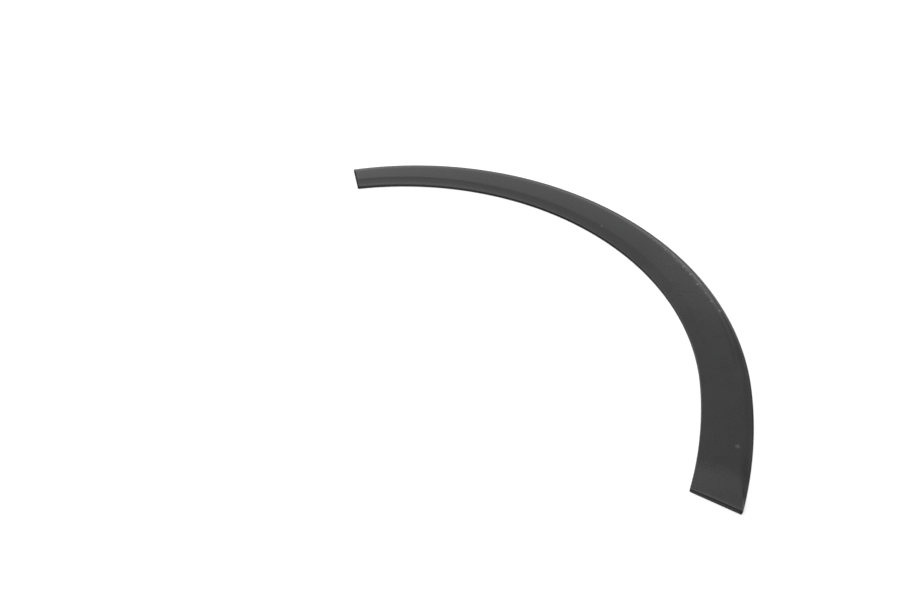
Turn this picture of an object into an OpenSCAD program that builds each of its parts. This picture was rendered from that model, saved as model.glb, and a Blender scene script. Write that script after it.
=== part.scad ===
// Wheel arch trim: one moulded plastic strip that follows the edge of a wheel arch.
// Units are mm. It lies on its back rim at Z = 0, its face up; +X runs along the car and +Y is up on it.
// The strip is one loft. Stations follow its wheel-side edge, and each one carries the section across
// the strip, from the wheel side (0) to the outer edge (the local width).

/* [Arch] */
// Radius of the wheel opening that the wheel-side edge follows
arch_radius = 373.5; // [320:0.5:430]
// Angle of the start cut, measured round the wheel from the horizontal on the tail's side
start_angle = 100.4; // [80:0.2:125]
// Length of the wheel-side edge that follows the wheel
arch_length = 687; // [560:1:760]
// Radius of the straighter tail
tail_radius = 651; // [450:1:1100]
// Length of the tail along its wheel-side edge
tail_length = 169.5; // [110:0.5:220]

/* [Width] */
// Width across the strip at the start cut
start_width = 47.8; // [42:0.2:58]
// Width across the strip once it has its full size
full_width = 61.3; // [56:0.1:75]
// Length over which it grows from one width to the other
widening_length = 510; // [300:5:750]

/* [Face] */
// Height of the wall on the wheel side
inner_edge_height = 4.5; // [4:0.1:5.5]
// Width of the tilted band beside the wheel, up to the crease
band_width = 16.4; // [13:0.1:19]
// Rise of that band from the wheel side to the crease
band_rise = 1.4; // [0.6:0.1:2]
// Hollowness of the band: 0 is a flat band, 1 a full parabola
band_hollow = 0.33; // [0:0.01:0.8]
// Height of the face above the surface that the strip lies on
face_height = 6.2; // [5.9:0.1:8]
// Distance from the wheel side at which the face is at full height
crown_width = 44; // [36:1:46]
// Where the crease starts to fade into the face
fade_start = 500; // [400:5:560]
// Length over which the crease fades
fade_length = 180; // [100:5:300]
// Radius of the small edges
edge_radius = 0.8; // [0.4:0.1:1.2]

/* [Outer edge] */
// Height of the thin outer edge
outer_edge_height = 1.2; // [1:0.1:2]
// Width of the roll from the face down to the outer edge
roll_width = 14.5; // [12:0.5:18]
// Width of that roll along the tail
tail_roll_width = 21; // [16:0.5:24]
// Fullness of the roll: 2 is a parabola, more is rounder
roll_power = 3; // [2:0.1:4]
// Fullness at the end cut, where the roll has turned into a bevel
end_roll_power = 1.3; // [1.2:0.1:3]
// Where the roll starts to turn into the bevel
bevel_start = 770; // [700:5:790]
// Length over which it turns
bevel_length = 50; // [30:5:60]
// Where the roll starts to widen
roll_widening_start = 480; // [400:5:560]
// Length over which it widens
roll_widening_length = 250; // [150:5:300]
// Width of the roll at the end cut
end_roll_width = 1; // [0.6:0.1:3]
// Growth of the roll's width per mm from the end cut
end_roll_growth = 0.185; // [0.1:0.005:0.3]

/* [Ends] */
// Angle between the start cut and a square cut
start_skew = 1; // [0:0.5:12]
// Angle between the end cut and a square cut
end_skew = 12; // [0:0.5:20]
// Length over which the stations turn into each cut
skew_length = 120; // [90:5:200]
// Rise of the face towards the end cut
end_flare = 1.2; // [0:0.1:2]
// Length of that rise
flare_length = 42; // [25:1:60]
// Radius of the outer corner at the end cut
end_corner_radius = 4; // [1.5:0.5:6]
// Radius of the other three corners
corner_radius = 1.5; // [0.8:0.1:3]

/* [Back] */
// Wall of the hollow middle
skin = 2.4; // [1.8:0.1:3]
// Width of the rim that runs round the back
rim_width = 1.5; // [1.2:0.1:2.4]
// Depth of the tape lands inside the rim
land_recess = 0.9; // [0.5:0.1:1.2]
// Width of the tape land on the wheel side
inner_land_width = 9; // [7:0.5:10]
// Width of the tape land at the outer edge
outer_land_width = 7; // [6:0.5:9]
// Width of the land across each end
end_land_width = 6; // [4:0.5:10]
// Distance between the cross ribs, which the bays share out evenly
rib_pitch = 60; // [40:1:90]
// Thickness of a cross rib at its free edge
rib_thickness = 2; // [1.4:0.1:3]
// Gap between a rib's free edge and the surface that the strip lies on
rib_clearance = 1.6; // [1.4:0.1:2.4]
// Draft: how far a wall of the hollow leans over its height
draft = 0.4; // [0.2:0.1:0.8]

/* [Hidden] */
plastic_grey = [0.16, 0.16, 0.165];
station_step = 16;
rim_steps = 3;
land_steps = 3;
band_points = 4;
face_points = 4;
roll_points = 6;
ceiling_points = 4;

edge_length = arch_length + tail_length;
hollow_start = rim_width + draft + end_land_width;
hollow_length = edge_length - 2 * hollow_start;
bays = max(1, round(hollow_length / rib_pitch));
bay_length = hollow_length / bays;
bay_steps = max(1, ceil(bay_length / station_step));
rib_half = rib_thickness / 2;

// What the back has at a station: the rim, the land inside it, a rib, or the open hollow
RIM = 0;
LAND = 1;
RIB = 2;
HOLLOW = 3;

// Plain helpers: a share from 0 to 1, the same share eased at both ends, and a mix of two values
function share(t) = min(max(t, 0), 1);
function eased(t) = let (c = share(t)) c * c * (3 - 2 * c);
function mix(a, b, t) = a + (b - a) * t;
function degrees(length, radius) = length / radius * 180 / PI;

// The sagging of a rounded corner of radius r at the distance d from its end
function corner_cut(d, r) = d >= r ? 0 : r - sqrt(r * r - (r - d) * (r - d));

// The wheel-side edge: an arc round the wheel, then the tail's flatter arc, tangent to it
tail_angle = start_angle - degrees(arch_length, arch_radius);
function edge_angle(s) = s < arch_length
    ? start_angle - degrees(s, arch_radius)
    : tail_angle - degrees(s - arch_length, tail_radius);
function edge_radius_at(s) = s < arch_length ? arch_radius : tail_radius;
function edge_centre(s) = s < arch_length
    ? [0, 0]
    : (arch_radius - tail_radius) * [cos(tail_angle), sin(tail_angle)];
function edge_point(s) = let (a = edge_angle(s)) edge_centre(s) + edge_radius_at(s) * [cos(a), sin(a)];

// The direction across the strip: square to the edge, and turned into the cut at each end
function skew_at(s) = end_skew * pow(share(1 - (edge_length - s) / skew_length), 2)
    - start_skew * pow(share(1 - s / skew_length), 2);
function across(s) = let (k = skew_at(s), a = edge_angle(s) - k) [cos(a), sin(a)] / cos(k);

// Sizes that change along the strip
function width_at(s) = mix(full_width, start_width, pow(1 - share(s / widening_length), 2));
function from_end(s) = min(s, edge_length - s);
function inner_side(s) = corner_cut(from_end(s), corner_radius);
function outer_corner(s) = s < edge_length / 2 ? corner_radius : end_corner_radius;
function outer_side(s) = width_at(s) - corner_cut(from_end(s), outer_corner(s));
function roll_at(s) = min(
    mix(roll_width, tail_roll_width, eased((s - roll_widening_start) / roll_widening_length)),
    end_roll_width + end_roll_growth * (edge_length - s));
function roll_power_at(s) = mix(roll_power, end_roll_power, eased((s - bevel_start) / bevel_length));
function creased(s) = 1 - eased((s - fade_start) / fade_length);
function lift_at(s) = end_flare * eased((s - edge_length) / flare_length + 1);
function edge_break(s) = corner_cut(from_end(s), edge_radius);

// Height of the face at the distance x from the wheel side: with the crease, and as the tail's crown
function rounded(t) = 1 - pow(1 - share(t), 2);
function band_height(x) = let (u = share(x / band_width))
    inner_edge_height + band_rise * mix(u, u * u, band_hollow);
function creased_height(x) = band_height(x)
    + (face_height - inner_edge_height - band_rise) * rounded((x - band_width) / (crown_width - band_width));
function crowned_height(x) = mix(inner_edge_height, face_height, rounded(x / crown_width));
function open_height(x, s) = mix(crowned_height(x), creased_height(x), creased(s)) + lift_at(s);
function roll_start(s) = width_at(s) - roll_at(s);
function face_height_at(x, s) = let (v = share((x - roll_start(s)) / roll_at(s)))
    mix(open_height(x, s), outer_edge_height, pow(v, roll_power_at(s)));

// The face of one section, as [distance across, height] from the wheel side to the outer edge
function face_section(s) =
    let (
        left = inner_side(s),
        right = outer_side(s),
        drop = edge_break(s),
        outer_drop = min(drop, outer_edge_height / 2),
        roll_length = right - roll_start(s),
        top = inner_edge_height + lift_at(s) - drop,
        rounding = edge_radius * (1 - cos(45)))
    concat(
        [[left, top - edge_radius]],
        [[left + rounding, top - rounding]],
        [for (i = [0 : band_points])
            let (x = mix(left + edge_radius, band_width, i / band_points)) [x, face_height_at(x, s) - drop]],
        [for (i = [1 : face_points])
            let (x = mix(band_width, roll_start(s), i / (face_points + 1))) [x, face_height_at(x, s) - drop]],
        [for (i = [0 : roll_points])
            let (v = sin(90 * i / roll_points), x = roll_start(s) + v * roll_at(s))
            [roll_start(s) + v * roll_length, face_height_at(x, s) - mix(drop, outer_drop, v)]]);

// The back of one section, from the wheel side to the outer edge: rim, land, hollow, land, rim
function land_height(level) = level == RIM ? 0 : land_recess;
function hollow_height(x, s, level) =
    level == HOLLOW ? face_height_at(x, s) - skin
    : level == RIB ? rib_clearance
    : land_height(level);
function back_section(s, level) =
    let (
        left = inner_side(s),
        right = outer_side(s),
        land = land_height(level),
        hollow_in = rim_width + inner_land_width,
        hollow_out = width_at(s) - rim_width - outer_land_width,
        ceiling = concat(
            [hollow_in + draft],
            [for (i = [0 : ceiling_points]) mix(band_width, hollow_out - draft, i / ceiling_points)]))
    concat(
        [[left, 0], [left + rim_width, 0], [left + rim_width + draft, land], [hollow_in, land]],
        [for (x = ceiling) [x, hollow_height(x, s, level)]],
        [[hollow_out, land], [right - rim_width - draft, land], [right - rim_width, 0], [right, 0]]);

// The stations along the strip, as [distance along the edge, level of the back]
start_stations = concat(
    [for (i = [0 : rim_steps]) [rim_width * (1 - cos(90 * i / rim_steps)), RIM]],
    [for (i = [0 : land_steps]) [rim_width + draft + end_land_width * i / land_steps, LAND]]);
function mirrored(list) = [for (i = [len(list) - 1 : -1 : 0]) [edge_length - list[i][0], list[i][1]]];
function rib_stations(s) = [
    [s - rib_half - draft, HOLLOW], [s - rib_half, RIB],
    [s + rib_half, RIB], [s + rib_half + draft, HOLLOW]];
bay_stations = [for (b = [0 : bays - 1])
    each let (s = hollow_start + b * bay_length)
        concat(
            b > 0 ? rib_stations(s) : [[s + draft, HOLLOW]],
            [for (i = [1 : 1 : bay_steps - 1]) [s + bay_length * i / bay_steps, HOLLOW]])];
stations = concat(
    start_stations,
    bay_stations,
    [[edge_length - hollow_start - draft, HOLLOW]],
    mirrored(start_stations));

// Points of the loft: every station's face, then its back turned round, as one closed loop
function placed(section, s) = [for (p = section)
    let (q = edge_point(s) + across(s) * p[0]) [q[0], q[1], p[1]]];
faces_of_section = [for (st = stations) face_section(st[0])];
backs_of_section = [for (st = stations) back_section(st[0], st[1])];
function turned(list) = [for (i = [len(list) - 1 : -1 : 0]) list[i]];
face_count = len(faces_of_section[0]);
back_count = len(backs_of_section[0]);
loop = face_count + back_count;
last = len(stations) - 1;
lying_points = [for (k = [0 : last])
    each placed(concat(faces_of_section[k], turned(backs_of_section[k])), stations[k][0])];

// The origin is the middle of the strip's box, on the surface that it lies on
middle_x = (min([for (p = lying_points) p[0]]) + max([for (p = lying_points) p[0]])) / 2;
middle_y = (min([for (p = lying_points) p[1]]) + max([for (p = lying_points) p[1]])) / 2;
points = [for (p = lying_points) p - [middle_x, middle_y, 0]];

// Triangles between two neighbouring stations
side_triangles = [for (k = [0 : last - 1]) for (i = [0 : loop - 1])
    let (
        j = (i + 1) % loop,
        a = k * loop + i,
        b = k * loop + j,
        c = a + loop,
        d = b + loop)
    each [[a, d, c], [a, b, d]]];

// Triangles of an end cut, zipped between its face (row i) and its back (row j) from the wheel side
function zipped(k, i, j) =
    let (
        face_here = faces_of_section[k],
        back_here = backs_of_section[k],
        face_done = i == face_count - 1,
        back_done = j == back_count - 1,
        low = k * loop + loop - 1 - j,
        high = k * loop + i,
        face_next = !face_done && (back_done || face_here[i + 1][0] <= back_here[j + 1][0]))
    face_done && back_done ? []
    : face_next ? concat([[low, high + 1, high]], zipped(k, i + 1, j))
    : concat([[low, low - 1, high]], zipped(k, i, j + 1));
start_triangles = zipped(0, 0, 0);
end_triangles = [for (t = zipped(last, 0, 0)) [t[0], t[2], t[1]]];

module arch_trim() {
    color(plastic_grey)
        polyhedron(points = points, faces = concat(side_triangles, start_triangles, end_triangles));
}

arch_trim();
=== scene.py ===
"""A wheel arch trim: one moulded strip of black plastic, lying face up on a pale studio floor."""

import math

import bpy
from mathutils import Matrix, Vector


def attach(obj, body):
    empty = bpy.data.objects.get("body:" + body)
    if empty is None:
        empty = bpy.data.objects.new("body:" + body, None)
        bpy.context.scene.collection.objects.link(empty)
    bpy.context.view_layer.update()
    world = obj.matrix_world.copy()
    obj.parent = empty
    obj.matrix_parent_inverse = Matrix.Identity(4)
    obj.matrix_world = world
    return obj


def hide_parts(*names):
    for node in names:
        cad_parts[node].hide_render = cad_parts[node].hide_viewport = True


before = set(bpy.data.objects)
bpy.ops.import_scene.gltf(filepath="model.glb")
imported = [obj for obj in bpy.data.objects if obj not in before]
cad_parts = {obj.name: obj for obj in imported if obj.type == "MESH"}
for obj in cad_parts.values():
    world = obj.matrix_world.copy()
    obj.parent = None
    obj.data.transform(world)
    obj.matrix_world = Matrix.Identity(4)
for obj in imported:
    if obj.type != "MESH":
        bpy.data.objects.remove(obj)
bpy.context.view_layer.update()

# The strip
# One long moulding of black plastic that follows the edge of a wheel arch: a tilted band beside the wheel,
# a crease that fades towards the tail, and a face that rolls down to a thin outer edge. It is moulded in
# one piece, hollow and ribbed behind, with flat lands for the tape that sticks it to the car.

# Sizes in mm, apart from the start angle and the two skews, in degrees
STRIP_SIZES = {
    "Arch radius": 373.5,
    "Start angle": 100.4,
    "Arch length": 687.0,
    "Tail radius": 651.0,
    "Tail length": 169.5,
    "Start width": 47.8,
    "Full width": 61.3,
    "Widening length": 510.0,
    "Inner edge height": 4.5,
    "Band width": 16.4,
    "Band rise": 1.4,
    "Band hollow": 0.33,
    "Face height": 6.2,
    "Crown width": 44.0,
    "Fade start": 500.0,
    "Fade length": 180.0,
    "Edge radius": 0.8,
    "Outer edge height": 1.2,
    "Roll width": 14.5,
    "Tail roll width": 21.0,
    "Roll power": 3.0,
    "End roll power": 1.3,
    "Bevel start": 770.0,
    "Bevel length": 50.0,
    "Roll widening start": 480.0,
    "Roll widening length": 250.0,
    "End roll width": 1.0,
    "End roll growth": 0.185,
    "Start skew": 1.0,
    "End skew": 12.0,
    "Skew length": 120.0,
    "End flare": 1.2,
    "Flare length": 42.0,
    "Corner radius": 1.5,
    "End corner radius": 4.0,
    "Skin": 2.4,
    "Rim width": 1.5,
    "Land recess": 0.9,
    "Inner land width": 9.0,
    "Outer land width": 7.0,
    "End land width": 6.0,
    "Rib thickness": 2.0,
    "Rib clearance": 1.6,
    "Draft": 0.4,
}
BAYS = 14

# Rows of the mesh across the strip: closer together at the cuts and the ribs
EDGE_ROWS = 6
LAND_ROWS = 5
OPEN_ROWS = 20
END_ROWS = EDGE_ROWS + 1 + LAND_ROWS
BAY_ROWS = OPEN_ROWS + 3
LAST_ROW = 2 * END_ROWS + BAYS * BAY_ROWS - 1

# Columns of the mesh along the strip, counted from the wheel side, on its face and on its back
FACE_COLUMNS = {"wall": 2, "nose": 6, "band": 16, "run": 26, "roll": 18, "outer wall": 2}
BACK_COLUMNS = {
    "inner rim": 2, "inner rim wall": 2, "inner land": 6, "inner wall": 2, "band ceiling": 12,
    "ceiling": 36, "outer wall": 2, "outer land": 4, "outer rim wall": 2, "outer rim": 2,
}
LAST_COLUMN = sum(FACE_COLUMNS.values())


class Field:
    """A socket of a node tree. An expression on fields adds the Math nodes that work it out."""

    def __init__(self, tree, socket=None):
        self.tree = tree
        self.socket = socket

    def make(self, kind, settings=None, inputs=None, output=0):
        """Adds a node of any kind, sets it up, feeds its inputs and returns one of its outputs."""
        node = self.tree.nodes.new(kind)
        for name, value in (settings or {}).items():
            setattr(node, name, value)
        for key, value in (inputs or {}).items():
            if isinstance(value, Field):
                self.tree.links.new(value.socket, node.inputs[key])
            else:
                node.inputs[key].default_value = value
        return Field(self.tree, node.outputs[output])

    def out(self, output):
        """Another output of the same node."""
        return Field(self.tree, self.socket.node.outputs[output])

    def math(self, operation, *others):
        """A Math node with this field as its first value."""
        return self.make("ShaderNodeMath", {"operation": operation}, dict(enumerate((self, *others))))

    def __add__(self, other):
        return self.math("ADD", other)

    def __radd__(self, other):
        return self.math("ADD", other)

    def __sub__(self, other):
        return self.math("SUBTRACT", other)

    def __rsub__(self, other):
        return self.math("MULTIPLY_ADD", -1, other)

    def __mul__(self, other):
        return self.math("MULTIPLY", other)

    def __rmul__(self, other):
        return self.math("MULTIPLY", other)

    def __truediv__(self, other):
        return self.math("DIVIDE", other)

    def __pow__(self, other):
        return self.math("POWER", other)

    def least(self, other):
        return self.math("MINIMUM", other)

    def most(self, other):
        return self.math("MAXIMUM", other)

    def above(self, other):
        return self.math("GREATER_THAN", other)

    def sine(self):
        return self.math("SINE")

    def cosine(self):
        return self.math("COSINE")

    def share(self):
        """This field held between 0 and 1."""
        return self.make("ShaderNodeClamp", inputs={0: self})

    def eased(self):
        """A share from 0 to 1 with a soft start and a soft end."""
        held = self.share()
        return held * held * (3 - 2 * held)

    def ramp(self, start, length):
        """0 up to the start, then a straight rise to 1 over the length."""
        return ((self - start) / length).share()

    def within(self, start, rise, end=None, fall=None):
        """A ramp up to 1 from the start and, where an end is given, a ramp down to 0 from there."""
        up = self.ramp(start, rise)
        return up if end is None else up * (1 - self.ramp(end, fall))

    def towards(self, other, share):
        """This field where the share is 0, the other value where it is 1."""
        return self + (other - self) * share


strip_tree = bpy.data.node_groups.new("strip", "GeometryNodeTree")
strip_tree.interface.new_socket("Strip", in_out="OUTPUT", socket_type="NodeSocketGeometry")
strip_inputs = {
    label: strip_tree.interface.new_socket(label, in_out="INPUT", socket_type="NodeSocketFloat")
    for label in STRIP_SIZES}
material_input = strip_tree.interface.new_socket("Plastic", in_out="INPUT", socket_type="NodeSocketMaterial")
strip_root = Field(strip_tree)
given = strip_root.make("NodeGroupInput")
size = {label: given.out(label) for label in STRIP_SIZES}

# The row and column of each point of the two grids that become the face and the back
grid_x = strip_root.make("ShaderNodeSeparateXYZ", inputs={0: strip_root.make("GeometryNodeInputPosition")})
row = grid_x + (LAST_ROW / 2)
column = grid_x.out("Y") + LAST_COLUMN / 2
rows_left = LAST_ROW - row

# Distance along the wheel-side edge: an end, the bays between the ribs, and the other end
edge_length = size["Arch length"] + size["Tail length"]
hollow_start = size["Rim width"] + size["Draft"] + size["End land width"]
bay_length = (edge_length - hollow_start * 2) / BAYS


def end_run(rows):
    """Distance from a cut after so many rows: the rounded edge, the rim's inner wall and the land."""
    turn = rows.ramp(0, EDGE_ROWS) * (math.pi / 2)
    return (
        size["Rim width"] * (1 - turn.cosine())
        + size["Draft"] * rows.ramp(EDGE_ROWS, 1)
        + size["End land width"] * rows.ramp(EDGE_ROWS + 1, LAND_ROWS))


bay_row = (row - END_ROWS).most(0).least(BAYS * BAY_ROWS - 1)
bay = ((bay_row + 0.5) / BAY_ROWS).math("FLOOR")
local_row = bay_row - bay * BAY_ROWS
rib_before = bay.above(0.5)
rib_after = 1 - bay.above(BAYS - 1.5)
rib_half = size["Rib thickness"] / 2
open_length = bay_length - rib_half * (rib_before + rib_after) - size["Draft"] * 2
bay_run = (
    bay * bay_length
    + rib_half * rib_before
    + size["Draft"] * (local_row.ramp(0, 1) + local_row.ramp(OPEN_ROWS + 1, 1))
    + open_length * local_row.ramp(1, OPEN_ROWS))
along = end_run(row) + bay_run + hollow_start - end_run(rows_left)
from_end = along.least(edge_length - along)

# What the back has at each row: 0 or 1 for inside the rim, in an open bay, and on a rib
inside_rim = row.ramp(EDGE_ROWS, 1) * rows_left.ramp(EDGE_ROWS, 1)
open_bay = local_row.ramp(0, 1) - local_row.ramp(OPEN_ROWS + 1, 1)
on_rib = rib_before * (1 - local_row.ramp(0, 1)) + rib_after * local_row.ramp(OPEN_ROWS + 1, 1)
at_cut = 1 - row.ramp(0, 1) * rows_left.ramp(0, 1)


def corner_cut(radius):
    """How far a rounded corner falls back near a cut."""
    short = (radius - from_end).most(0)
    return radius - (radius * radius - short * short).most(0) ** 0.5


# Sizes that change along the strip
width = size["Full width"].towards(size["Start width"], (1 - along.ramp(0, size["Widening length"])) ** 2)
full_roll = size["Roll width"].towards(
    size["Tail roll width"], along.ramp(size["Roll widening start"], size["Roll widening length"]).eased())
roll = full_roll.least(size["End roll width"] + size["End roll growth"] * (edge_length - along))
roll_start = width - roll
roll_power = size["Roll power"].towards(
    size["End roll power"], along.ramp(size["Bevel start"], size["Bevel length"]).eased())
creased = 1 - along.ramp(size["Fade start"], size["Fade length"]).eased()
lift = size["End flare"] * (1 - (edge_length - along) / size["Flare length"]).eased()
drop = corner_cut(size["Edge radius"])
left = corner_cut(size["Corner radius"])
tail_half = along.above(edge_length / 2)
right = width - corner_cut(size["Corner radius"].towards(size["End corner radius"], tail_half))
full_rise = size["Face height"] - size["Inner edge height"]


def face_height(x):
    """Height of the face at a distance x from the wheel side: band, crease, face and roll."""
    band_share = (x / size["Band width"]).share()
    band = size["Band rise"] * band_share.towards(band_share * band_share, size["Band hollow"])
    past_crease = x.ramp(size["Band width"], size["Crown width"] - size["Band width"])
    face_rise = (full_rise - size["Band rise"]) * (1 - (1 - past_crease) ** 2)
    crown = full_rise * (1 - (1 - x.ramp(0, size["Crown width"])) ** 2)
    open_height = size["Inner edge height"] + crown.towards(band + face_rise, creased) + lift
    rolled = ((x - roll_start) / roll).share() ** roll_power
    return open_height.towards(size["Outer edge height"], rolled)


def column_shares(columns):
    """One ramp from 0 to 1 for each named group of columns, in their order across the strip."""
    shares = {}
    first = 0
    for name, count in columns.items():
        shares[name] = column.ramp(first, count)
        first += count
    return shares


# The face, from the wheel-side foot over the band, the crease and the roll to the outer foot. Its first
# and last rows of points drop to the floor, which closes the two cuts.
face = column_shares(FACE_COLUMNS)
nose_turn = face["nose"] * (math.pi / 2)
roll_share = (face["roll"] * (math.pi / 2)).sine()
nose_end = left + size["Edge radius"]
up_to_roll = (
    left + size["Edge radius"] * (1 - nose_turn.cosine())
    + (size["Band width"] - nose_end) * face["band"]
    + (roll_start - size["Band width"]) * face["run"])
face_x = up_to_roll + (right - roll_start) * roll_share
nose_height = face_height(nose_end) - drop
outer_drop = drop.least(size["Outer edge height"] / 2)
crest = face_height((up_to_roll + roll * roll_share).most(nose_end))
face_z = (
    (crest - drop.towards(outer_drop, roll_share)
     - size["Edge radius"] * (1 - nose_turn.sine())
     - (nose_height - size["Edge radius"]) * (1 - face["wall"]))
    * (1 - face["outer wall"])
    * row.ramp(-1, 1) * rows_left.ramp(-1, 1))

# The back, from the wheel side: rim, tape land, hollow, tape land, rim
back = column_shares(BACK_COLUMNS)
hollow_in = size["Rim width"] + size["Inner land width"]
hollow_out = width - size["Rim width"] - size["Outer land width"]
ceiling_in = hollow_in + size["Draft"]
ceiling_x = (
    ceiling_in
    + (size["Band width"] - ceiling_in) * back["band ceiling"]
    + (hollow_out - size["Draft"] - size["Band width"]) * back["ceiling"])
back_x = (
    left + size["Rim width"] * back["inner rim"]
    + size["Draft"] * back["inner rim wall"]
    + (hollow_in - left - size["Rim width"] - size["Draft"]) * back["inner land"]
    + (ceiling_x - hollow_in) * back["inner wall"]
    + size["Draft"] * back["outer wall"]
    + (right - size["Rim width"] - size["Draft"] - hollow_out) * back["outer land"]
    + size["Draft"] * back["outer rim wall"]
    + size["Rim width"] * back["outer rim"]).towards(face_x, at_cut)
land = size["Land recess"] * inside_rim
ceiling = face_height(ceiling_x) - size["Skin"]
hollow = land.towards(size["Rib clearance"], on_rib).towards(ceiling, open_bay)
back_z = (
    land * (back["inner rim wall"] - back["outer rim wall"])
    + (hollow - land) * (back["inner wall"] - back["outer wall"]))

# The wheel-side edge is an arc round the wheel and then the tail's flatter arc. The direction across the
# strip is square to it, and turns into the cut at each end.
on_arch = along.least(size["Arch length"])
on_tail = along - on_arch
arch_angle = size["Start angle"] * (math.pi / 180) - on_arch / size["Arch radius"]
edge_angle = arch_angle - on_tail / size["Tail radius"]
skew = (math.pi / 180) * (
    size["End skew"] * (1 - (edge_length - along) / size["Skew length"]).share() ** 2
    - size["Start skew"] * (1 - along / size["Skew length"]).share() ** 2)
MM = 0.001


def placed(x, z):
    """Where a point of the section goes: x across the strip and z up, both in mm, to metres in the scene."""
    reach = x / skew.cosine()
    turned = edge_angle - skew
    radius_step = size["Arch radius"] - size["Tail radius"]
    return strip_root.make("ShaderNodeCombineXYZ", inputs={
        0: (radius_step * arch_angle.cosine() + size["Tail radius"] * edge_angle.cosine()
            + reach * turned.cosine()) * MM,
        1: (radius_step * arch_angle.sine() + size["Tail radius"] * edge_angle.sine()
            + reach * turned.sine()) * MM,
        2: z * MM})


def skin(x, z, depth, roll_part, back_part):
    """One grid, bent into the face or the back. For the plastic's painted highlights, glints and shade it
    keeps each point's distances along and across the strip and below the face, in mm, its share of the way
    down the roll, and 1 on the back."""
    grid = strip_root.make("GeometryNodeMeshGrid", inputs={
        "Size X": LAST_ROW + 2.0, "Size Y": float(LAST_COLUMN),
        "Vertices X": LAST_ROW + 3, "Vertices Y": LAST_COLUMN + 1})
    kept_values = {
        "along": along, "across": x, "depth": depth, "roll part": roll_part, "back part": back_part}
    for name, value in kept_values.items():
        grid = grid.make("GeometryNodeStoreNamedAttribute", {"data_type": "FLOAT", "domain": "POINT"},
                         {"Geometry": grid, "Name": name, "Value": value})
    return grid.make("GeometryNodeSetPosition", inputs={"Geometry": grid, "Position": placed(x, z)})


# The two skins share their outline, so their rims of points are welded into one closed shell
WELD_DISTANCE = 0.002
face_skin = skin(face_x, face_z, crest - face_z, roll_share, 0.0)
back_skin = skin(back_x, back_z, size["Face height"], 0.0, 1.0)
back_skin = back_skin.make("GeometryNodeFlipFaces", inputs={"Mesh": back_skin})
joined = strip_tree.nodes.new("GeometryNodeJoinGeometry")
for part in (face_skin, back_skin):
    strip_tree.links.new(part.socket, joined.inputs[0])
closed = strip_root.make("GeometryNodeMergeByDistance", inputs={
    "Geometry": Field(strip_tree, joined.outputs[0]), "Distance": WELD_DISTANCE * MM})
box = strip_root.make("GeometryNodeBoundBox", inputs={0: closed}, output="Min")
corner_sum = strip_root.make("ShaderNodeVectorMath", {"operation": "ADD"}, {0: box, 1: box.out("Max")})
to_middle = strip_root.make(
    "ShaderNodeVectorMath", {"operation": "MULTIPLY"}, {0: corner_sum, 1: (-0.5, -0.5, 0.0)})
centred = strip_root.make("GeometryNodeSetPosition", inputs={"Geometry": closed, "Offset": to_middle})
smooth = strip_root.make("GeometryNodeSetShadeSmooth", inputs={"Geometry": centred})
real = strip_root.make("GeometryNodeRealizeInstances", inputs={"Geometry": smooth})
finished = strip_root.make("GeometryNodeSetMaterial", inputs={
    "Geometry": real, "Material": given.out("Plastic")})
strip_tree.links.new(finished.socket, strip_tree.nodes.new("NodeGroupOutput").inputs[0])

# The plastic: near black and half matt, with the fine grain of its mould. Painted highlights make it a
# little lighter on its small edges, beside the wheel, on the shoulder, the tail and at the end. Its walls
# are duller and darker than its face, a painted shade, and its back is matt.
FACE_COLOUR = (0.014, 0.014, 0.0145, 1.0)
# The lighter colour is a painted highlight
PAINTED_HIGHLIGHT_COLOUR = (0.064, 0.064, 0.065, 1.0)
# Specks of dust, and painted glints
SPECK_AND_GLINT_COLOUR = (0.17, 0.17, 0.17, 1.0)
# The darker wall colour is painted shade
SHADED_WALL_COLOUR = (0.004, 0.004, 0.0042, 1.0)
FACE_ROUGHNESS = 0.28
BACK_ROUGHNESS = 0.46
WALL_ROUGHNESS = 0.5
FACE_GLOSS = 0.4
WALL_GLOSS = 0.12
GRAIN_DEPTH = 0.06 * MM
GRAIN_STRENGTH = 0.14

# Unevenness: scale per metre and detail of each noise, and how much it changes the roughness
CLOUD_NOISE = (26.0, 3.0)
SMUDGE_NOISE = (80.0, 2.0)
MOTTLE_NOISE = (420.0, 2.0)
GRAIN_NOISE = (1400.0, 2.0)
GLINT_NOISE = (500.0, 1.0)
CLOUD_SHARE = 0.08
SMUDGE_SHARE = 0.08
MOTTLE_SHARE = 0.035

# How much of the lighter colour, a painted highlight, each highlit place takes
PAINTED_HIGHLIGHT_COVER = 0.92
WHEEL_SIDE_HIGHLIGHT = 0.42
WALL_PAINTED_LIGHT = 0.3
SHOULDER_HIGHLIGHT = 0.12
TAIL_HIGHLIGHT = 0.06
END_HIGHLIGHT = 0.2
END_LINE_HIGHLIGHT = 0.25
PAINTED_GLINT = 0.6
GLINT_CUT = (0.56, 0.1)

# How far each place of painted shade goes from the face's finish to the walls' darker, duller one
CREASE_SHADE = 0.12
OUTER_EDGE_SHADE = 0.8
SHOULDER_SHADE = 0.3
BEVEL_SHADE = 0.5
BEVEL_TIP_SHADE = 0.3
WEDGE_SHADE = 0.2
WEDGE_TIP_SHADE = 0.3

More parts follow.
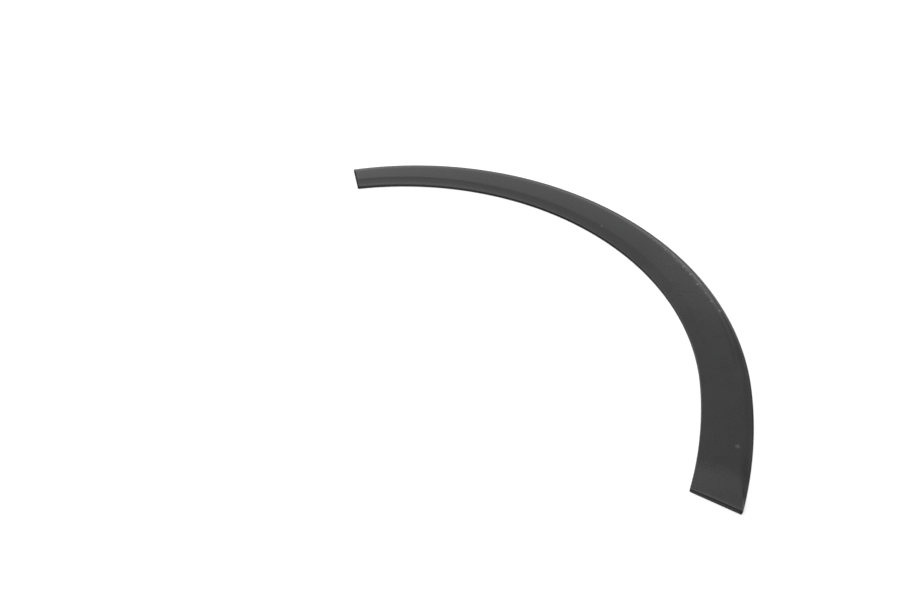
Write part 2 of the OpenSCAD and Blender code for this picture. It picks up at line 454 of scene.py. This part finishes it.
# Most of these places are painted light: the lighter ones painted highlights, the fine light dots painted
# glints, the darker, duller ones painted shade.
# Where these places lie. Each row says where one begins and how slowly it comes in and, if it ends before
# the strip does, where it ends and how slowly it goes out. A start of -1 is off the strip.
# Along the strip, in mm from its start cut
ALONG = {
    "start cut": (-1, 1, 1, 1.2),
    "wall painted light": (1, 2, 100, 200),
    "small edges highlight": (2, 6, 300, 200),
    "wheel side highlight": (-1, 1, 120, 330),
    "shoulder highlight": (430, 50, 540, 60),
    "tail highlight": (690, 90),
    "end edge highlight": (780, 40),
    "end highlight": (802, 26),
    "end line highlight": (853, 1.5),
    "painted_glints_and_dust": (400, 40, 510, 40),
    "shaded crease": (-1, 1, 150, 250),
    "crease nearer the wheel": (130, 60),
    "shaded outer edge": (-1, 1, 420, 180),
    "shaded shoulder": (550, 40, 640, 30),
    "shaded wedge": (785, 30),
    "wedge's tip": (832, 10),
    "shaded bevel": (805, 25),
    "bevel's tip": (828, 8),
}
# Across the strip, in mm from its wheel-side edge
ACROSS = {
    "wall painted light": (-1, 1, 1, 1),
    "wheel side highlight": (-1, 1, 1.5, 5),
    "end edge highlight": (-1, 1, 55, 4),
    "shaded crease": (11.5, 2.5, 16, 2.5),
}
# Down the roll, as shares of the way from its top to its foot
DOWN_ROLL = {
    "small edges highlight": (-1, 1, 0.4, 0.4),
    "painted_glints_and_dust": (0.02, 0.1, 0.45, 0.2),
    "shaded outer edge": (0.46, 0.2),
    "shaded rim": (0.85, 0.12),
    "shaded shoulder": (0.02, 0.2),
    "shaded bevel": (0.02, 0.3),
    "bevel's tip": (0, 0.08),
}
# Below the face, in mm
BELOW_FACE = {
    "small edges highlight": (0.02, 0.12, 0.3, 0.3),
    "shaded walls": (0.3, 0.4),
}
# How far the painted shade at the crease moves towards the wheel, and the painted shade of the wedge beside
# the
# bevel: it starts this far across the strip and narrows evenly up to the end
CREASE_SHIFT = 2.5
WEDGE_SIDE = 47.5
WEDGE_SLOPE = 0.36
WEDGE_SOFTNESS = 2.5
STRIP_LENGTH = STRIP_SIZES["Arch length"] + STRIP_SIZES["Tail length"]

# Light specks on the face, as place, radius and strength: the first two are dust, the six in a row along the
# roll are painted glints in its highlight
DUST_SPECKS_AND_GLINTS = (
    ((0.2200, -0.2337, 0.0062), 0.0042, 0.35),
    ((0.1002, 0.1749, 0.0058), 0.0026, 0.35),
    ((0.2027, 0.0874, 0.0060), 0.0024, 0.6),
    ((0.2097, 0.0707, 0.0060), 0.0028, 0.8),
    ((0.2160, 0.0503, 0.0060), 0.0030, 0.8),
    ((0.2238, 0.0323, 0.0060), 0.0024, 0.5),
    ((0.2292, 0.0165, 0.0060), 0.0026, 0.6),
    ((0.2374, -0.0009, 0.0060), 0.0032, 1.0),
)
plastic = bpy.data.materials.new("black moulded plastic")
plastic.use_nodes = True
plastic_tree = plastic.node_tree
plastic_tree.nodes.clear()
finish = Field(plastic_tree)
spot = finish.make("ShaderNodeTexCoord", output="Object")


def kept(name):
    """One of the values that the mesh keeps for each point."""
    return finish.make("ShaderNodeAttribute", {"attribute_name": name}, output="Fac")


def noise(scale, detail):
    """A noise from 0 to 1 through the strip."""
    return finish.make("ShaderNodeTexNoise", inputs={"Vector": spot, "Scale": scale, "Detail": detail})


def blend(share, first, second):
    """A colour between two others."""
    return finish.make("ShaderNodeMix", {"data_type": "RGBA"}, {0: share, 6: first, 7: second}, output=2)


depth = kept("depth")
along_strip = kept("along")
across_strip = kept("across")
roll_part = kept("roll part")
face_part = 1 - kept("back part")


def along_at(name):
    return along_strip.within(*ALONG[name])


def across_at(name):
    return across_strip.within(*ACROSS[name])


def roll_at(name):
    return roll_part.within(*DOWN_ROLL[name])


# Unevenness in patches of about 40, 12 and 2 mm, and the mould's grain of less than 1 mm
cloud = noise(*CLOUD_NOISE) - 0.5
smudge = noise(*SMUDGE_NOISE) - 0.5
mottle = noise(*MOTTLE_NOISE) - 0.5
grain = finish.make("ShaderNodeBump", inputs={
    "Strength": GRAIN_STRENGTH, "Distance": GRAIN_DEPTH, "Height": noise(*GRAIN_NOISE)})

# Painted highlights, which lighten the small rounded edges, a strip beside the wheel, the shoulder, the tail
# and its end
highlit_end_edge = along_at("end edge highlight") * across_at("end edge highlight")
edge_highlight = (
    depth.within(*BELOW_FACE["small edges highlight"]) * roll_at("small edges highlight")
    * along_at("small edges highlight").most(highlit_end_edge))
side_highlight = across_at("wheel side highlight").eased() * along_at("wheel side highlight") * WHEEL_SIDE_HIGHLIGHT
tail_highlight = (
    along_at("shoulder highlight").eased() * SHOULDER_HIGHLIGHT
    + along_at("tail highlight") * TAIL_HIGHLIGHT
    + along_at("end highlight").eased() * END_HIGHLIGHT
    + along_at("end line highlight") * END_LINE_HIGHLIGHT)
painted_highlight = edge_highlight.most(side_highlight + tail_highlight) * (mottle + PAINTED_HIGHLIGHT_COVER).share() * face_part
# Painted light: a lighter colour on the wheel-side wall near the start cut
wall_painted_light = across_at("wall painted light") * along_at("wall painted light") * WALL_PAINTED_LIGHT

# Painted glints on the upper part of the roll, and the specks of dust and glints
painted_glints_and_dust = noise(*GLINT_NOISE).ramp(*GLINT_CUT) * roll_at("painted_glints_and_dust") * along_at("painted_glints_and_dust") * PAINTED_GLINT
for place, radius, strength in DUST_SPECKS_AND_GLINTS:
    distance = finish.make(
        "ShaderNodeVectorMath", {"operation": "DISTANCE"}, {0: spot, 1: place}, output="Value")
    painted_glints_and_dust = painted_glints_and_dust.most((1 - (distance / radius).share().eased()) * strength)

# Painted shade, darker and duller: on the walls, the start cut, the crease, the roll's lower half, the
# shoulder, and the bevel and wedge at the end
from_wheel = across_strip + along_at("crease nearer the wheel") * CREASE_SHIFT
crease_shade = from_wheel.within(*ACROSS["shaded crease"]) * along_at("shaded crease") * CREASE_SHADE
outer_edge_shade = (roll_at("shaded outer edge") * along_at("shaded outer edge") + roll_at("shaded rim")) * OUTER_EDGE_SHADE
shoulder_shade = roll_at("shaded shoulder") * along_at("shaded shoulder") * SHOULDER_SHADE
bevel_shade = (
    roll_at("shaded bevel") * along_at("shaded bevel") * BEVEL_SHADE
    + roll_at("bevel's tip") * along_at("bevel's tip") * BEVEL_TIP_SHADE)
wedge_line = (STRIP_SIZES["Full width"] - (STRIP_LENGTH - along_strip) * WEDGE_SLOPE).most(WEDGE_SIDE)
wedge_shade = (across_strip - wedge_line).ramp(0, WEDGE_SOFTNESS) * (
    along_at("shaded wedge") * WEDGE_SHADE + along_at("wedge's tip") * WEDGE_TIP_SHADE)
painted_shade = (
    depth.within(*BELOW_FACE["shaded walls"]).most(along_at("start cut")).most(crease_shade)
    .most(outer_edge_shade.share()).most(shoulder_shade).most((bevel_shade + wedge_shade).share()))

roughness = (1 - face_part) * (BACK_ROUGHNESS - FACE_ROUGHNESS) + FACE_ROUGHNESS
face_surface = finish.make("ShaderNodeBsdfPrincipled", inputs={
    "Base Color": blend(painted_glints_and_dust, blend(painted_highlight, FACE_COLOUR, PAINTED_HIGHLIGHT_COLOUR), SPECK_AND_GLINT_COLOUR),
    "Roughness": roughness + cloud * CLOUD_SHARE + smudge * SMUDGE_SHARE + mottle * MOTTLE_SHARE,
    "Specular IOR Level": FACE_GLOSS,
    "Normal": grain})
shaded_wall_surface = finish.make("ShaderNodeBsdfPrincipled", inputs={
    "Base Color": blend(wall_painted_light, SHADED_WALL_COLOUR, PAINTED_HIGHLIGHT_COLOUR),
    "Roughness": WALL_ROUGHNESS,
    "Specular IOR Level": WALL_GLOSS,
    "Normal": grain})
# The walls and the places of painted shade take the darker, duller wall surface
surface = finish.make("ShaderNodeMixShader", inputs={0: painted_shade * face_part, 1: face_surface, 2: shaded_wall_surface})
plastic_output = plastic_tree.nodes.new("ShaderNodeOutputMaterial")
plastic_tree.links.new(surface.socket, plastic_output.inputs["Surface"])

# The mesh, made once from the tree. Corners past this many degrees stay sharp.
SHARP_EDGE = 38
strip_host = bpy.data.objects.new("strip_host", bpy.data.meshes.new("strip_host"))
bpy.context.scene.collection.objects.link(strip_host)
maker = strip_host.modifiers.new("strip", "NODES")
maker.node_group = strip_tree
for label, value in STRIP_SIZES.items():
    maker[strip_inputs[label].identifier] = value
maker[material_input.identifier] = plastic
bpy.context.view_layer.update()
evaluated = strip_host.evaluated_get(bpy.context.evaluated_depsgraph_get())
strip_mesh = bpy.data.meshes.new_from_object(evaluated)
strip_mesh.set_sharp_from_angle(angle=math.radians(SHARP_EDGE))
bpy.data.objects.remove(strip_host)
strip = bpy.data.objects.new("arch_trim_moulding", strip_mesh)
bpy.context.scene.collection.objects.link(strip)
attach(strip, "root")
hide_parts("arch_trim")

# The floor
# A plain white studio floor with a glow of its own, so that the strip throws next to no shadow. It is wide
# enough to fill the view from any side.
FLOOR_HALF = 60.0
FLOOR_DROP = 0.0002
FLOOR_COLOUR = (0.65, 0.65, 0.65, 1.0)
FLOOR_ROUGHNESS = 0.9
FLOOR_GLOW = 0.5
floor_mesh = bpy.data.meshes.new("floor")
floor_mesh.from_pydata(
    [(x * FLOOR_HALF, y * FLOOR_HALF, -FLOOR_DROP) for x, y in ((-1, -1), (1, -1), (1, 1), (-1, 1))],
    [], [(0, 1, 2, 3)])
floor = bpy.data.objects.new("floor", floor_mesh)
bpy.context.scene.collection.objects.link(floor)
floor_paint = bpy.data.materials.new("white floor")
floor_paint.use_nodes = True
floor_surface = floor_paint.node_tree.nodes["Principled BSDF"]
floor_surface.inputs["Base Color"].default_value = FLOOR_COLOUR
floor_surface.inputs["Roughness"].default_value = FLOOR_ROUGHNESS
floor_surface.inputs["Specular IOR Level"].default_value = 0.0
floor_surface.inputs["Emission Color"].default_value = (1.0, 1.0, 1.0, 1.0)
floor_surface.inputs["Emission Strength"].default_value = FLOOR_GLOW
floor_mesh.materials.append(floor_paint)

# The light
# A wide white panel of light behind the strip, low over the floor and brightest at its right end, with
# dimmer white light all round, which is weakest on the right and overhead.
PANEL_LIGHT = 2.41
LEFT_LIGHT = 1.8
RIGHT_LIGHT = 0.6
TOP_LIGHT = 0.4

# Where the light changes and how slowly, in degrees: across, to the right of straight behind the strip,
# and up from the floor. The panel's top falls towards its right end.
PANEL_LEFT = (-28.5, 60)
PANEL_RIGHT = (26, 7.2)
PANEL_FOOT = (1.3, 30)
PANEL_TOP = 30.8
PANEL_TOP_FADE = 11.7
PANEL_TOP_FALL = 0.15
PANEL_TOP_LEVEL_UP_TO = -40
OVERHEAD = (50, 35)
# The same for the change from left to right, as sines
RIGHT_HALF = (-0.24, 0.3)
studio = bpy.data.worlds.new("studio")
studio.use_nodes = True
studio.node_tree.nodes.clear()
air = Field(studio.node_tree)
way = air.make("ShaderNodeSeparateXYZ", inputs={0: air.make("ShaderNodeTexCoord", output="Generated")})
turn = way.math("ARCTAN2", way.out("Y"))
across_view = turn * (180 / math.pi)
rise = way.out("Z").math("ARCSINE") * (180 / math.pi)
all_round = turn.sine().ramp(*RIGHT_HALF).eased() * (RIGHT_LIGHT - LEFT_LIGHT) + LEFT_LIGHT
all_round = all_round.towards(TOP_LIGHT, rise.ramp(*OVERHEAD).eased())
panel_sides = across_view.ramp(*PANEL_LEFT).eased() * (1 - across_view.ramp(*PANEL_RIGHT).eased())
panel_top = PANEL_TOP - across_view.most(PANEL_TOP_LEVEL_UP_TO) * PANEL_TOP_FALL
panel_height = rise.ramp(*PANEL_FOOT).eased() * (1 - ((rise - panel_top) / PANEL_TOP_FADE).eased())
glow = air.make("ShaderNodeBackground", inputs={
    "Color": (1.0, 1.0, 1.0, 1.0), "Strength": all_round + panel_sides * panel_height * PANEL_LIGHT})
studio_output = studio.node_tree.nodes.new("ShaderNodeOutputWorld")
studio.node_tree.links.new(glow.socket, studio_output.inputs["Surface"])
bpy.context.scene.world = studio
bpy.context.scene.view_settings.view_transform = "Standard"

# The camera
# It looks at the floor between the strip's ends, along the car's upward direction and 42 degrees down.
IMAGE_WIDTH = 920
FOCAL_PIXELS = 1200
SENSOR_WIDTH = 36.0
CAMERA_DISTANCE = 1.56
CAMERA_ELEVATION = math.radians(41.83)
LOOK_AT = Vector((-0.09754, 0.01294, 0.0))
FARTHEST_SEEN = 100.0
camera_data = bpy.data.cameras.new("camera")
camera_data.sensor_fit = "HORIZONTAL"
camera_data.sensor_width = SENSOR_WIDTH
camera_data.lens = SENSOR_WIDTH * FOCAL_PIXELS / IMAGE_WIDTH
camera_data.clip_end = FARTHEST_SEEN
camera = bpy.data.objects.new("camera", camera_data)
camera.location = LOOK_AT + CAMERA_DISTANCE * Vector(
    (0.0, -math.cos(CAMERA_ELEVATION), math.sin(CAMERA_ELEVATION)))
camera.rotation_euler = (math.pi / 2 - CAMERA_ELEVATION, 0.0, 0.0)
bpy.context.scene.collection.objects.link(camera)
bpy.context.scene.camera = camera
